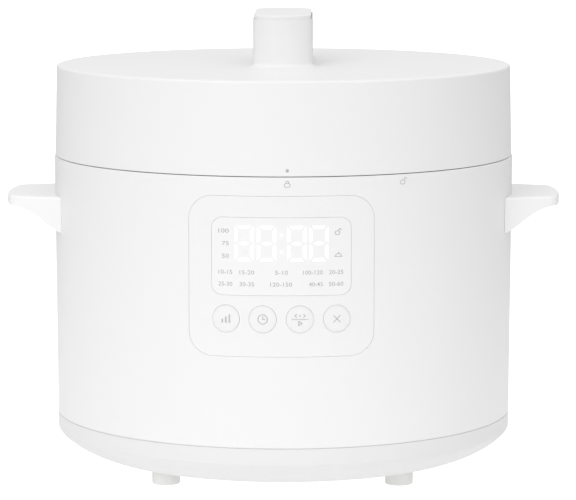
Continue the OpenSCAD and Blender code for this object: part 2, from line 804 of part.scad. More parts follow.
module power_board() {
    top = power_board_z + 1.6;
    color(board_green) difference() {
        translate([-supply_w / 2, supply_y, power_board_z]) cube([supply_w, supply_l, 1.6]);
        board_posts() translate([0, 0, 3]) cylinder(r = 1.4, h = 8);
    }
    color(dark) {
        translate([-38, 20, top - 0.1]) cube([22, 18, 13]);
        translate([10, 44, top - 0.1]) cube([19, 16, 12]);
        translate([-10, 46, top - 0.1]) cylinder(r = 6, h = 12);
        translate([6, 14, top - 0.1]) cube([26, 10, 12]);
    }
    color(off_white) translate([-12, 5, top - 0.1]) cube([24, 6, 7]);
}

module power_inlet() {
    color(dark) difference() {
        union() {
            translate([-16, inlet_face_y - 2.6, inlet_z - 14]) cube([32, 2.6, 28]);
            translate([-15, inlet_face_y - inlet_depth - 2, inlet_z - 11]) cube([30, inlet_depth, 22]);
        }
        translate([-12.2, inlet_face_y - inlet_depth, inlet_z - 8.2]) cube([24.4, inlet_depth + 1, 16.4]);
    }
    color(steel) for (p = [[-7, 0], [7, 0], [0, 4]])
        translate([p[0] - 1, inlet_face_y - inlet_depth - 4, inlet_z + p[1] - 2]) cube([2, inlet_depth + 1, 4]);
}

// Flat ribbon from the control board down beside the outer pot to the power board
module ribbon_cable() {
    y = board_y - board_t - 3;
    low = shield_z - 3;
    top = panel_mid_z - board_h / 2 + 3;
    plug_z = power_board_z + 1.6 + 7;
    color(off_white) translate([-9, 0, 0]) rotate([90, 0, 90]) linear_extrude(height = 18) polygon(concat(
        [[-y, top]], arc(-y + 8, low + 8, 8, 180, 270, 5), [[2, low], [8, low - 2], [8, plug_z]],
        [[7, plug_z]], [[7, low - 2.6], [2, low - 1]], arc(-y + 8, low + 8, 9, 270, 180, 5), [[-y - 1, top]]));
}

module mains_leads() {
    bend = 8;
    low = power_board_z + 12;
    back = inlet_face_y - inlet_depth - 3.8;
    front = supply_y + supply_l - 4;
    color(dark) for (x = [-7, 7]) translate([x, 0, 0]) {
        translate([0, back, low + bend]) cylinder(r = 1.6, h = inlet_z - 2.2 - low - bend);
        translate([0, back - bend, low + bend]) rotate([90, 0, 90]) rotate([0, 0, -90])
            rotate_extrude(angle = 90) translate([bend, 0]) circle(r = 1.6);
        translate([0, back - bend, low]) rotate([90, 0, 0]) cylinder(r = 1.6, h = back - bend - front);
        translate([0, front, power_board_z + 1.6]) cylinder(r = 1.6, h = low - power_board_z - 1.6);
        translate([0, front, low]) sphere(r = 1.6);
    }
}

function lid_wall_r(z) = lid_r - lid_taper * (z - lid_bottom_z) / (lid_top_z - lid_bottom_z);
function crown_z(r) = lid_top_z + lid_crown * (1 - pow(r / lid_top_r, 2));

// Prism with the knob's outline
module knob_prism(inset, low, high) {
    translate([0, 0, low]) linear_extrude(height = high - low) polygon(knob_plan(inset));
}

module knob_blend() {
    turns = [for (a = [0:15:90]) a];
    low = lid_top_z + lid_crown - 0.1;
    loft(concat([knob_plan(-knob_fillet - 0.6)], [for (a = turns) knob_plan(-knob_fillet * (1 - sin(a)))],
            [knob_plan(1)]),
        concat([lid_top_z - 1.5], [for (a = turns) low + knob_fillet * (1 - cos(a))],
            [low + knob_fillet + 0.5]));
}

module lid_cover() {
    edge = 1.5;
    vent_count = 5;
    color(white) difference() {
        union() {
            rotate_extrude() polygon(concat(
                [[lid_in_r, lid_bottom_z], [lid_r, lid_bottom_z]],
                arc(lid_top_r - edge, lid_top_z - edge, edge, 0, 84, 6),
                [for (r = [110, 80, 50, 0]) [r, crown_z(r)]],
                [[0, lid_top_z - lid_wall], [lid_in_r - lid_taper, lid_top_z - lid_wall]]));
            knob_prism(0, deck_z, knob_rim_z);
            knob_blend();
            around(lid_screw_count, lid_screw_ring_r) translate([0, 0, liner_top_z])
                cylinder(r = boss_r, h = lid_top_z - 1 - liner_top_z);
            translate([0, 0, guide_z]) cylinder(r = rod_r + 2.5, h = 6);
        }
        knob_prism(knob_wall, lid_top_z, knob_rim_z + 5);
        knob_prism(rim_wall, rebate_z, knob_rim_z + 5);
        // steam passage behind the deck
        intersection() {
            knob_prism(knob_wall, deck_z - 1, deck_z + 9);
            translate([-30, lever_in, deck_z - 2]) cube([60, 60, 20]);
        }
        translate([0, 0, guide_z - 1]) cylinder(r = rod_r + run, h = 20);
        around(lid_screw_count, lid_screw_ring_r) translate([0, 0, liner_top_z - 1]) cylinder(r = 1.6, h = 18);
        translate([0, knob_end_y, 0]) for (i = [0:vent_count - 1])
            rotate([0, 0, (i - (vent_count - 1) / 2) * 14]) translate([0, knob_end_r, lid_top_z + 13])
                cube([2.4, 10, 14], center = true);
    }
}

module lid_liner() {
    color(off_white) difference() {
        rotate_extrude() polygon([
            [0, liner_deck_z], [liner_in, liner_deck_z], [liner_in, liner_foot_z], [liner_out, liner_foot_z],
            [liner_out, liner_foot_z + liner_t], [liner_in + liner_t, liner_foot_z + liner_t],
            [liner_in + liner_t, liner_top_z], [0, liner_top_z]]);
        around(lid_screw_count, lid_screw_ring_r) translate([0, 0, liner_deck_z - 1]) cylinder(r = 1.8, h = 8);
        around(3, stud_ring_r, 90) translate([0, 0, liner_deck_z - 1]) cylinder(r = stud_r + 0.3, h = 8);
        translate([0, valve_y, liner_deck_z - 1]) cylinder(r = 11, h = 8);
        translate([float_x, float_y, liner_deck_z - 1]) cylinder(r = 7, h = 8);
    }
}

module pressure_lid() {
    color(steel) difference() {
        union() {
            rotate_extrude() polygon(concat(
                [[0, plate_under_z], [skirt_in, plate_under_z], [skirt_in, lid_lug_bottom_z],
                    [skirt_out, lid_lug_bottom_z]],
                arc(skirt_out - 3, plate_z - 3, 3, 0, 90, 5), [[0, plate_z]]));
            lugs(lid_lug_in, skirt_in + 0.5, lid_lug_bottom_z, lid_lug_top_z, -1, false);
            around(3, stud_ring_r, 90) translate([0, 0, plate_z - 0.5]) {
                cylinder(r = 5, h = liner_deck_z - plate_z + 0.5);
                cylinder(r = stud_r, h = liner_top_z - plate_z + 6);
            }
        }
        translate([0, valve_y, plate_under_z - 1]) cylinder(r = nozzle_r + run, h = 5);
        translate([float_x, float_y, plate_under_z - 1]) cylinder(r = 4.1, h = 5);
    }
}

module lid_nuts() {
    color(steel) around(3, stud_ring_r, 90) translate([0, 0, liner_top_z]) difference() {
        hex(5, 4);
        translate([0, 0, -1]) cylinder(r = stud_r + run, h = 6);
    }
}

module lid_screws() {
    color(steel) around(lid_screw_count, lid_screw_ring_r) {
        translate([0, 0, plate_z + 0.5]) cylinder(r = 3.5, h = liner_deck_z - plate_z - 0.5);
        translate([0, 0, liner_deck_z - 0.5]) cylinder(r = 1.5, h = 14);
    }
}

module seal_ring() {
    lip = 3;
    color([0.9, 0.9, 0.88]) rotate_extrude() polygon([
        [seal_in, seal_z + lip], [seal_in + 2.2, seal_z], [seal_out - 5, seal_z], [seal_out - 5, seal_z + 1.4],
        [seal_in + 5, seal_z + 1.8], [seal_in + 4.2, seal_z + lip], [seal_out, seal_z + lip],
        [seal_out, plate_under_z - 0.3], [seal_in - 2, plate_under_z - 0.3], [seal_in - 2, seal_z + lip]]);
}

module seal_carrier() {
    color(steel) rotate_extrude() polygon([
        [seal_in - 5, plate_under_z], [seal_in - 5, seal_z + 1], [seal_in - 0.4, seal_z + 1],
        [seal_in - 0.4, seal_z + 2.2], [seal_in - 3.8, seal_z + 2.2], [seal_in - 3.8, plate_under_z]]);
}

module anti_block_cap() {
    cap_r = 12;
    color(steel) translate([0, valve_y, 0]) difference() {
        band(9.4, cap_r, plate_under_z - 12, plate_under_z);
        for (i = [0:5]) rotate([0, 0, 30 * i]) translate([0, 0, plate_under_z - 6])
            cube([30, 1.6, 6], center = true);
    }
    color(steel) translate([0, valve_y, 0]) band(0, cap_r, plate_under_z - 13, plate_under_z - 12 + eps);
}

module steam_nozzle() {
    color(steel) translate([0, valve_y, 0]) difference() {
        union() {
            band(0, nozzle_r, plate_under_z - 8, nozzle_top_z - 2);
            band(0, 8, plate_z, plate_z + 2);
            translate([0, 0, nozzle_top_z - 2]) cylinder(r1 = nozzle_r, r2 = 3, h = 2);
        }
        translate([0, 0, plate_under_z - 10]) cylinder(r = 1.5, h = 40);
    }
}

module nozzle_nut() {
    color(steel) translate([0, valve_y, plate_under_z - 4]) difference() {
        hex(8.6, 4);
        translate([0, 0, -1]) cylinder(r = nozzle_r + run, h = 6);
    }
}

module exhaust_valve() {
    bore_h = nozzle_top_z - valve_under_z - 0.7;
    color(dark) translate([0, valve_y, 0]) difference() {
        union() {
            band(0, valve_r, valve_under_z, valve_top_z);
            band(0, 2.2, valve_top_z - eps, collar_z + 4);
            band(0, collar_r, collar_z, collar_z + 2);
        }
        translate([0, 0, valve_under_z - 1]) cylinder(r = nozzle_r + 0.4, h = bore_h);
        translate([0, 0, nozzle_top_z - 2 + clear]) cylinder(r1 = nozzle_r + 0.4, r2 = 3.2, h = 2);
    }
}

module lever_bracket() {
    foot_w = 2 * (bracket_in + bracket_t);
    cheek = 4;
    color(off_white) difference() {
        union() {
            for (side = [-1, 1]) translate([side * (bracket_in + bracket_t / 2), lever_in, 0]) {
                translate([-bracket_t / 2, -cheek, liner_top_z])
                    cube([bracket_t, 2 * cheek, lever_z - liner_top_z]);
                translate([-bracket_t / 2, 0, lever_z]) rotate([0, 90, 0]) cylinder(r = cheek, h = bracket_t);
            }
            translate([-foot_w / 2, -6, liner_top_z]) cube([foot_w, lever_in + 3, 3]);
        }
        translate([-20, lever_in, lever_z]) rotate([0, 90, 0]) cylinder(r = pin_r, h = 40);
    }
}

module lever_pin() {
    half = bracket_in + bracket_t;
    color(steel) translate([-half, lever_in, lever_z]) rotate([0, 90, 0]) cylinder(r = pin_r, h = 2 * half);
}

module release_lever() {
    half = bracket_in - clear;
    color(off_white) translate([0, lever_in, lever_z]) difference() {
        union() {
            translate([-4, -lever_in - 4, -lever_half]) cube([8, lever_in + 4, 2 * lever_half]);
            translate([-half, 0, 0]) rotate([0, 90, 0]) cylinder(r = 2.8, h = 2 * half);
            for (side = [-1, 1]) translate([side * 4.7 - 1.5, 0, 0]) {
                translate([0, 0, -1.2]) cube([3, lever_out, 2.4]);
                translate([0, lever_out, 0]) rotate([0, 90, 0]) cylinder(r = lever_half, h = 3);
            }
        }
        translate([-20, 0, 0]) rotate([0, 90, 0]) cylinder(r = pin_r + run, h = 40);
    }
}

module release_button() {
    inset = rim_wall + button_gap;
    edge = 0.6;
    turns = [for (a = [0:22.5:90]) a];
    color(white) {
        loft(concat([knob_plan(inset)], [for (a = turns) knob_plan(inset + edge * (1 - cos(a)))]),
            concat([button_under_z], [for (a = turns) button_top_z - edge * (1 - sin(a))]));
        translate([0, 0, rod_tip_z + rod_r]) cylinder(r = rod_r, h = button_under_z - rod_tip_z - rod_r + 1);
        translate([0, 0, rod_tip_z + rod_r]) sphere(r = rod_r);
    }
}

module release_spring() {
    color(steel) coil(7, 0.6, 7, lid_top_z + 0.1, button_under_z - 0.1);
}

module float_bush() {
    color([0.9, 0.9, 0.88]) translate([float_x, float_y, 0]) difference() {
        union() {
            band(0, 4, plate_under_z - 1, plate_z + 1);
            band(0, 6, plate_z, float_head_z - clear);
            band(0, 6, plate_under_z - 1.4, plate_under_z);
        }
        translate([0, 0, plate_under_z - 3]) cylinder(r = float_r + run, h = 10);
    }
}

module float_valve() {
    color(steel) translate([float_x, float_y, 0]) {
        band(0, 4.6, float_head_z, float_head_z + 2);
        band(0, float_r, plate_under_z - 6.5, float_head_z + eps);
        band(0, 4.6, plate_under_z - 1.4 - clear - float_lift - 1.6, plate_under_z - 1.4 - clear - float_lift);
    }
}

outer_shell();
base_cover();
feet();
base_screws();
left_handle();
right_handle();
handle_screws();
panel_overlay();
display_window();
panel_housing();
display_module();
control_board();
board_screws();
texture_button();
timer_button();
start_button();
cancel_button();
top_ring();
locking_ring();
outer_pot();
inner_pot();
heating_plate();
heating_element();
spring_plate();
probe_housing();
probe_cap();
probe_spring();
pressure_switch();
switch_bracket();
thermal_fuse();
heat_shield();
support_pillars();
power_board();
power_inlet();
ribbon_cable();
mains_leads();
lid_cover();
lid_liner();
pressure_lid();
lid_nuts();
lid_screws();
seal_ring();
seal_carrier();
anti_block_cap();
steam_nozzle();
nozzle_nut();
exhaust_valve();
lever_bracket();
lever_pin();
release_lever();
release_button();
release_spring();
float_bush();
float_valve();
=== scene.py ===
import math

import bmesh
import bpy
import numpy as np
from mathutils import Euler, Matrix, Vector


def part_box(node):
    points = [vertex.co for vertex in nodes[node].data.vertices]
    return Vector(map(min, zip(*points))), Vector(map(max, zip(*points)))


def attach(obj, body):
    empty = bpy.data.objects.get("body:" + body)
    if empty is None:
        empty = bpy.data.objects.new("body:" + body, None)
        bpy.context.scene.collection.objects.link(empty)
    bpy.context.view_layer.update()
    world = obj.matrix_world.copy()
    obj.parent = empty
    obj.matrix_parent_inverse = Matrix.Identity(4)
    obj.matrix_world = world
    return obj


MM = 0.001

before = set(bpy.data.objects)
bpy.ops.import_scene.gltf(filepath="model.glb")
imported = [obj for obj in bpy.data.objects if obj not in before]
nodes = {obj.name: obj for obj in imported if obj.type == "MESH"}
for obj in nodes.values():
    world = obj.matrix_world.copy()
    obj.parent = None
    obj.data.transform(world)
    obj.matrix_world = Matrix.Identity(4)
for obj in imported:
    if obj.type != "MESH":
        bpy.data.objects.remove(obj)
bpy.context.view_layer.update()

# Sizes read from the frame, and the few that its boxes don't show
shell_low, shell_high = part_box("outer_shell")
BODY_R = shell_high.x
BODY_TOP = shell_high.z
BASE_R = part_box("base_cover")[1].x
BASE_TOP = shell_low.z
BASE_GAP = 0.5 * MM
lid_low, lid_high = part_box("lid_cover")
LID_R = lid_high.x
LID_BOTTOM = lid_low.z
LID_EDGE = 244.2 * MM
LID_TAPER = 1.1 * MM
key_low, key_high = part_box("timer_button")
KEY_FLANGE = 1.5 * MM
KEY_R = (key_high.z - key_low.z) / 2 - KEY_FLANGE
KEY_Z = (key_high.z + key_low.z) / 2
KEY_GAP = 0.2 * MM
KEY_PROUD = 0.1 * MM
KEY_DOME = 0.45 * MM
KEY_DOME_R = (KEY_R ** 2 + KEY_DOME ** 2) / (2 * KEY_DOME)
KEY_STEP = 8.8


def wall_r(z):
    """Radius of the body's tapered wall at a height."""
    return BODY_R - (BODY_R - BASE_R) * (BODY_TOP - z) / (BODY_TOP - BASE_TOP)


def lid_wall_r(z):
    """Radius of the lid's tapered wall at a height."""
    return LID_R - LID_TAPER * (z - LID_BOTTOM) / (LID_EDGE - LID_BOTTOM)


def on_wall(x, z):
    """How far the body's wall stands in front of the vertical axis."""
    return math.sqrt(wall_r(z) ** 2 - x * x)


def on_lid(x, z):
    """The same for the lid's wall."""
    return math.sqrt(lid_wall_r(z) ** 2 - x * x)


def on_key(x, z):
    """The same for the domed face of a button that is turned to the front."""
    centre = wall_r(KEY_Z) + KEY_PROUD + KEY_DOME
    return centre - (x * x + (z - KEY_Z) ** 2) / (2 * KEY_DOME_R)


# ---------------------------------------------------------------- materials

# Depths of the finest bumps, and how far light spreads inside translucent plastic
GRAIN_DEPTH = 0.0005
BRUSH_DEPTH = 0.0003
TRACK_DEPTH = 0.0002
SCATTER = 0.004
PLASTIC_IOR = 1.46


def new_material(name):
    mat = bpy.data.materials.new(name)
    mat.use_nodes = True
    tree = mat.node_tree
    return mat, tree, tree.nodes["Principled BSDF"]


def noise(tree, scale, detail=2.0, roughness=0.5, stretch=None):
    """Noise over object coordinates, stretched along an axis where a finish has a grain."""
    coords = tree.nodes.new("ShaderNodeTexCoord")
    tex = tree.nodes.new("ShaderNodeTexNoise")
    tex.inputs["Scale"].default_value = scale
    tex.inputs["Detail"].default_value = detail
    tex.inputs["Roughness"].default_value = roughness
    place = coords.outputs["Object"]
    if stretch:
        mapping = tree.nodes.new("ShaderNodeMapping")
        mapping.inputs["Scale"].default_value = stretch
        tree.links.new(place, mapping.inputs["Vector"])
        place = mapping.outputs["Vector"]
    tree.links.new(place, tex.inputs["Vector"])
    return tex.outputs["Fac"]


def spread(tree, fac, low, high):
    """Maps a 0 to 1 factor onto a range."""
    node = tree.nodes.new("ShaderNodeMapRange")
    node.inputs["To Min"].default_value = low
    node.inputs["To Max"].default_value = high
    tree.links.new(fac, node.inputs["Value"])
    return node.outputs["Result"]


def bump(tree, shader, fac, strength, distance):
    node = tree.nodes.new("ShaderNodeBump")
    node.inputs["Strength"].default_value = strength
    node.inputs["Distance"].default_value = distance
    tree.links.new(fac, node.inputs["Height"])
    tree.links.new(node.outputs["Normal"], shader.inputs["Normal"])


def tint(tree, shader, fac, first, second):
    """Colour that varies between two close colours."""
    mix = tree.nodes.new("ShaderNodeMix")
    mix.data_type = "RGBA"
    mix.inputs["A"].default_value = (*first, 1)
    mix.inputs["B"].default_value = (*second, 1)
    tree.links.new(fac, mix.inputs["Factor"])
    tree.links.new(mix.outputs["Result"], shader.inputs["Base Color"])


def vary_roughness(tree, shader, fac, middle, reach):
    tree.links.new(spread(tree, fac, middle - reach, middle + reach), shader.inputs["Roughness"])


def shade(color, factor):
    return tuple(c * factor for c in color)


def plastic(name, color, rough, grain_depth=0.012, subsurface=0.0):
    """Moulded plastic: a fine spark-eroded grain, slow drift in colour and in gloss."""
    mat, tree, shader = new_material(name)
    tint(tree, shader, noise(tree, 9, 3), shade(color, 0.988), color)
    vary_roughness(tree, shader, noise(tree, 60, 4), rough, 0.03)
    bump(tree, shader, noise(tree, 1500, 3, 0.6), grain_depth, GRAIN_DEPTH)
    shader.inputs["IOR"].default_value = PLASTIC_IOR
    if subsurface:
        shader.inputs["Subsurface Weight"].default_value = subsurface
        shader.inputs["Subsurface Radius"].default_value = (SCATTER, SCATTER, SCATTER)
        shader.inputs["Subsurface Scale"].default_value = 1.0
    return mat


def metal(name, color, rough, stretch=(1, 1, 60), scale=40, depth=0.03):
    """Brushed, drawn or turned metal: a stretched grain in roughness and bump."""
    mat, tree, shader = new_material(name)
    shader.inputs["Metallic"].default_value = 1.0
    grain = noise(tree, scale, 5, 0.6, stretch)
    tint(tree, shader, grain, shade(color, 0.88), color)
    vary_roughness(tree, shader, grain, rough, 0.07)
    bump(tree, shader, grain, depth, BRUSH_DEPTH)
    return mat


def rubber(name, color, rough=0.7):
    """Matt moulded rubber with a fine grain."""
    mat, tree, shader = new_material(name)
    tint(tree, shader, noise(tree, 30, 3), shade(color, 0.96), color)
    vary_roughness(tree, shader, noise(tree, 200, 4), rough, 0.06)
    bump(tree, shader, noise(tree, 2500, 2), 0.05, BRUSH_DEPTH)
    return mat


def circuit_board(name):
    """Solder mask with faint tracks under it."""
    mat, tree, shader = new_material(name)
    coords = tree.nodes.new("ShaderNodeTexCoord")
    brick = tree.nodes.new("ShaderNodeTexBrick")
    brick.inputs["Scale"].default_value = 90
    brick.inputs["Mortar Size"].default_value = 0.06
    brick.inputs["Color1"].default_value = (0.03, 0.16, 0.08, 1)
    brick.inputs["Color2"].default_value = (0.04, 0.20, 0.10, 1)
    brick.inputs["Mortar"].default_value = (0.10, 0.32, 0.16, 1)
    tree.links.new(coords.outputs["Object"], brick.inputs["Vector"])
    tree.links.new(brick.outputs["Color"], shader.inputs["Base Color"])
    vary_roughness(tree, shader, noise(tree, 80, 3), 0.34, 0.06)
    bump(tree, shader, brick.outputs["Fac"], 0.1, TRACK_DEPTH)
    return mat


def ink(name, color, rough=0.45):
    """Printed marking with slightly uneven coverage."""
    mat, tree, shader = new_material(name)
    tint(tree, shader, noise(tree, 900, 3), shade(color, 0.94), color)
    vary_roughness(tree, shader, noise(tree, 400, 2), rough, 0.05)
    return mat


def lit_segment(name, strength):
    """Display segment lit from behind, slightly uneven."""
    mat, tree, shader = new_material(name)
    tint(tree, shader, noise(tree, 300, 2), (0.94, 0.95, 0.96), (0.97, 0.97, 0.97))
    shader.inputs["Roughness"].default_value = 0.4
    shader.inputs["Emission Color"].default_value = (1, 1, 1, 1)
    glow = spread(tree, noise(tree, 120, 2), strength * 0.9, strength * 1.1)
    tree.links.new(glow, shader.inputs["Emission Strength"])
    return mat


WHITE = (0.86, 0.86, 0.86)
PANEL_WHITE = (0.87, 0.87, 0.87)
BODY_MAT = plastic("body_white", WHITE, 0.42)
LID_MAT = plastic("lid_white", WHITE, 0.42)
BASE_MAT = plastic("base_white", (0.80, 0.80, 0.80), 0.46)
# The handles are the same white plastic as the body, painted lighter as painted light on their tops
HANDLE_LIT_MAT = plastic("handle_white_painted_light", (0.91, 0.91, 0.91), 0.42)
PANEL_MAT = plastic("panel_white", WHITE, 0.38, grain_depth=0.006)
WINDOW_MAT = plastic("window_white", PANEL_WHITE, 0.34, grain_depth=0.003)
KEY_MAT = plastic("key_white", PANEL_WHITE, 0.36, grain_depth=0.004, subsurface=0.25)
INNER_MAT = plastic("inner_plastic", (0.70, 0.70, 0.68), 0.5)
DARK_MAT = plastic("dark_plastic", (0.05, 0.05, 0.055), 0.5, grain_depth=0.05)
# Pale rubber, painted paler still: painted light that offsets the shade under the base
FOOT_LIT_MAT = rubber("foot_rubber", (0.90, 0.90, 0.89))
SILICONE_MAT = rubber("silicone", (0.78, 0.78, 0.75), 0.4)
STEEL_MAT = metal("brushed_steel", (0.62, 0.62, 0.63), 0.32)
SCREW_MAT = metal("zinc_steel", (0.50, 0.50, 0.52), 0.4, (1, 1, 1), 200)
SPRING_MAT = metal("spring_steel", (0.45, 0.45, 0.47), 0.35, (1, 1, 1), 150)
POT_MAT = metal("pot_alloy", (0.40, 0.40, 0.41), 0.42, (1, 1, 40), 60)
CAST_MAT = metal("cast_alloy", (0.55, 0.55, 0.56), 0.48, (1, 1, 1), 120, 0.08)
BOARD_MAT = circuit_board("circuit_board")
MARK_MAT = ink("mark_grey", (0.50, 0.50, 0.50))
LOCK_MARK_MAT = ink("lock_mark_grey", (0.48, 0.48, 0.48))
# A supposed rubber seal round each button, its grey set as painted shade for the line of the gap
SEAL_SHADE_MAT = rubber("key_seal_painted_shade", (0.72, 0.72, 0.72))
DIGIT_MAT = lit_segment("digit_light", 0.12)

NODE_MATERIALS = {
    BODY_MAT: ["outer_shell"],
    LID_MAT: ["lid_cover", "release_button"],
    BASE_MAT: ["base_cover"],
    HANDLE_LIT_MAT: ["left_handle", "right_handle"],
    PANEL_MAT: ["panel_overlay"],
    WINDOW_MAT: ["display_window"],
    KEY_MAT: ["texture_button", "timer_button", "start_button", "cancel_button"],
    INNER_MAT: ["panel_housing", "top_ring", "probe_housing", "thermal_fuse", "ribbon_cable", "lid_liner",
                "lever_bracket", "release_lever"],
    DARK_MAT: ["display_module", "pressure_switch", "power_inlet", "mains_leads", "exhaust_valve"],
    FOOT_LIT_MAT: ["feet"],
    SILICONE_MAT: ["seal_ring", "float_bush"],
    STEEL_MAT: ["locking_ring", "outer_pot", "heating_element", "spring_plate", "switch_bracket",
                "heat_shield", "support_pillars", "pressure_lid", "seal_carrier", "anti_block_cap",
                "steam_nozzle", "float_valve"],
    SCREW_MAT: ["base_screws", "handle_screws", "board_screws", "lid_nuts", "lid_screws", "nozzle_nut",
                "lever_pin"],
    SPRING_MAT: ["probe_spring", "release_spring"],
    POT_MAT: ["inner_pot"],
    CAST_MAT: ["heating_plate", "probe_cap"],
    BOARD_MAT: ["control_board", "power_board"],
}
ROUND_NODES = {"outer_shell", "lid_cover", "base_cover", "panel_overlay", "display_window", "inner_pot",
               "outer_pot", "pressure_lid", "lid_liner", "top_ring", "locking_ring", "seal_ring",
               "heating_plate"}

# Corners closer than WELD share a normal, unless their faces meet at more than SMOOTH_DEG. A corner
# counts as turned beyond AXIS_NEAR, where its normal points along the radius to within AXIS_MATCH.
WELD = 2e-6
SMOOTH_DEG = 32
AXIS_NEAR = 0.02
AXIS_MATCH = 0.996


def read_array(items, name, width=1, kind=float):
    """One value of every item as an array, with a row for each item where it has several numbers."""
    flat = np.empty(len(items) * width, dtype=kind)
    items.foreach_get(name, flat)
    return flat.reshape(-1, width) if width > 1 else flat


def smooth_shading(obj, about_axis):
    """Sets corner normals: the mean of the neighbouring faces within the limit angle, and on
    turned surfaces the exact direction away from the vertical axis."""
    mesh = obj.data
    co = read_array(mesh.vertices, "co", 3)
    face_n = read_array(mesh.polygons, "normal", 3)
    area = read_array(mesh.polygons, "area")
    loop_v = read_array(mesh.loops, "vertex_index", kind=np.int64)
    total = read_array(mesh.polygons, "loop_total", kind=np.int64)
    loop_f = np.repeat(np.arange(len(mesh.polygons)), total)
    _, weld = np.unique(np.round(co / WELD).astype(np.int64), axis=0, return_inverse=True)
    corner = weld.reshape(-1)[loop_v]
    order = np.argsort(corner, kind="stable")
    starts = np.searchsorted(corner[order], np.arange(corner.max() + 2))
    limit = math.cos(math.radians(SMOOTH_DEG))
    out = face_n[loop_f].copy()
    for start, end in zip(starts, starts[1:]):
        members = order[start:end]
        if len(members) < 2:
            continue
        normals = face_n[loop_f[members]]
        weights = np.sqrt(area[loop_f[members]])[None, :] * ((normals @ normals.T) > limit)
        out[members] = weights @ normals
    if about_axis:
        place = co[loop_v][:, :2]
        radius = np.linalg.norm(place, axis=1)
        flat = np.linalg.norm(out[:, :2], axis=1)
        away = np.einsum("ij,ij->i", out[:, :2], place)
        turned = (radius > AXIS_NEAR) & (flat > 1e-9) & (np.abs(away) > AXIS_MATCH * radius * flat)
        sign = np.sign(away[turned])
        out[turned, :2] = place[turned] * (sign * flat[turned] / radius[turned])[:, None]
    length = np.linalg.norm(out, axis=1)
    length[length == 0] = 1
    mesh.shade_smooth()
    mesh.normals_split_custom_set((out / length[:, None]).tolist())


def dress_nodes():
    """Gives every CAD node its material and smooth shading."""
    for mat, names in NODE_MATERIALS.items():
        for name in names:
            obj = nodes[name]
            obj.data.materials.clear()
            obj.data.materials.append(mat)
            smooth_shading(obj, about_axis=name in ROUND_NODES)


# ---------------------------------------------------------------- pieces of the scene

def add_object(name, data):
    obj = bpy.data.objects.new(name, data)
    bpy.context.scene.collection.objects.link(obj)
    return obj


def add_piece(name, mesh, mat, body):
    """Piece of the object that moves with a body."""
    obj = add_object(name, mesh)
    mesh.materials.append(mat)
    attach(obj, body)
    return obj


def turn_about_axis(obj, azimuth_deg):
    """Carries a piece made at the front round the vertical axis, before anything else moves it."""
    a = math.radians(azimuth_deg)
    for v in obj.data.vertices:
        x, y, z = v.co
        v.co = (x * math.cos(a) - y * math.sin(a), x * math.sin(a) + y * math.cos(a), z)


# A print stands INK_LIFT in front of its surface and is INK_DEPTH thick
INK_LIFT = 0.03 * MM
INK_DEPTH = 0.06 * MM
STRIP = 1.0 * MM


def wrapped_piece(name, outlines, mat, body, azimuth=0.0, surface=on_wall, lift=INK_LIFT,
                  depth=INK_DEPTH):
    """Thin piece laid on a curved surface. Each outline is a list of (x, z) points as seen from the
    front; it is cut into narrow strips so that it follows the surface, and closed behind."""
    bm = bmesh.new()
    for points in outlines:
        bm.faces.new([bm.verts.new((x, 0, z)) for x, z in points])
    bmesh.ops.triangulate(bm, faces=bm.faces[:])
    low = min(v.co.x for v in bm.verts)
    high = max(v.co.x for v in bm.verts)
    cuts = int((high - low) / STRIP)
    for i in range(1, cuts + 1):
        x = low + (high - low) * i / (cuts + 1)
        bmesh.ops.bisect_plane(bm, geom=bm.verts[:] + bm.edges[:] + bm.faces[:], plane_co=(x, 0, 0),
                               plane_no=(1, 0, 0))
    bmesh.ops.remove_doubles(bm, verts=bm.verts[:], dist=1e-7)
    bmesh.ops.recalc_face_normals(bm, faces=bm.faces[:])
    for face in bm.faces:
        if face.normal.y > 0:
            face.normal_flip()
    extruded = bmesh.ops.extrude_face_region(bm, geom=bm.faces[:], use_keep_orig=True)
    back = {g for g in extruded["geom"] if isinstance(g, bmesh.types.BMVert)}
    for v in bm.verts:
        v.co.y = -surface(v.co.x, v.co.z) - lift + (depth if v in back else 0)
    bmesh.ops.recalc_face_normals(bm, faces=bm.faces[:])
    mesh = bpy.data.meshes.new(name)
    bm.to_mesh(mesh)
    bm.free()
    obj = add_piece(name, mesh, mat, body)
    if azimuth:
        turn_about_axis(obj, azimuth)
    return obj


# ---------------------------------------------------------------- outlines, as (x, z) points

# How far each stretch of a line runs past its ends, in line widths
STROKE_OVERRUN = 0.2


def arc_points(cx, cz, r, start, end, steps=12):
    angles = [math.radians(start + (end - start) * i / steps) for i in range(steps + 1)]
    return [(cx + r * math.cos(a), cz + r * math.sin(a)) for a in angles]


def circle_points(cx, cz, r, steps=24):
    return arc_points(cx, cz, r, 0, 360, steps)[:-1]


def stroke(points, width, closed=False):
    """A line of the given width through the points, as one quad for each stretch."""
    quads = []
    for (x0, z0), (x1, z1) in zip(points, points[1:] + (points[:1] if closed else [])):
        dx, dz = x1 - x0, z1 - z0
        length = math.hypot(dx, dz)
        if length < 1e-9:
            continue
        nx, nz = -dz / length * width / 2, dx / length * width / 2
        ex, ez = dx / length * width * STROKE_OVERRUN, dz / length * width * STROKE_OVERRUN
        quads.append([(x0 - ex + nx, z0 - ez + nz), (x0 - ex - nx, z0 - ez - nz),
                      (x1 + ex - nx, z1 + ez - nz), (x1 + ex + nx, z1 + ez + nz)])
    return quads


